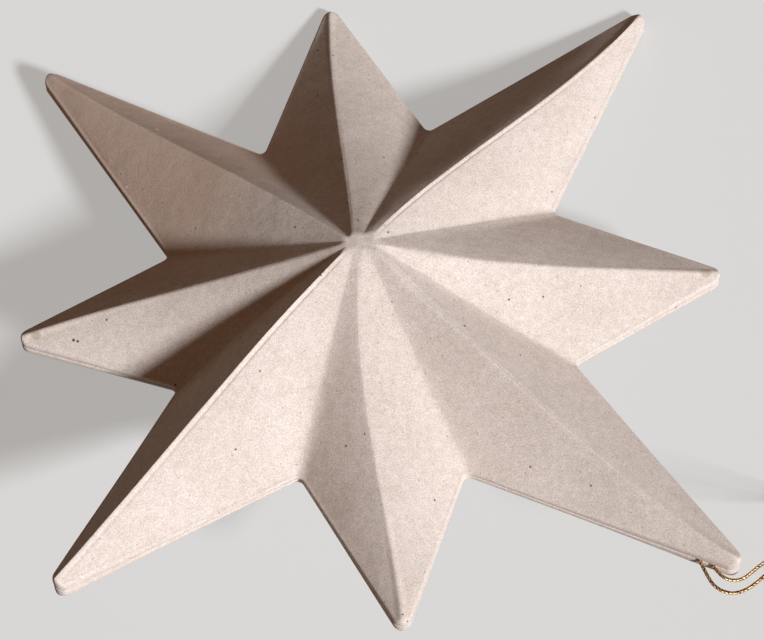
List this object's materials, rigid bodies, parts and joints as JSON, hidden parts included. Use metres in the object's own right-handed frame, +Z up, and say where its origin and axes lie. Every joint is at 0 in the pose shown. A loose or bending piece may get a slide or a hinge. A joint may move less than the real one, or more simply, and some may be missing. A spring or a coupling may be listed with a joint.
{
  "type": "paper star ornament",
  "caption": "Hollow double-sided star of pressed paper pulp, made of two faceted shells glued rim to rim, with a looped hanging thread at one long point.",
  "frame": {"origin": "on the surface the star lies on, below the centre of the resting star's box, with the loose thread left out", "axes": "+Z up from the surface, +Y toward the short point at the top, +X to the right of it; the star leans on its back summit and two tips, about 17 degrees from level"},
  "size_m": [0.1835, 0.1544, 0.0494],
  "materials": {
    "pulp": "matt grey-beige recycled pulp, flecked with fibres",
    "thread": "twisted metallic gold thread"
  },
  "bodies": {
    "root": {"front_shell": "pulp", "back_shell": "pulp", "hang_cord": "thread", "cord_knot": "thread"}
  },
  "joints": []
}
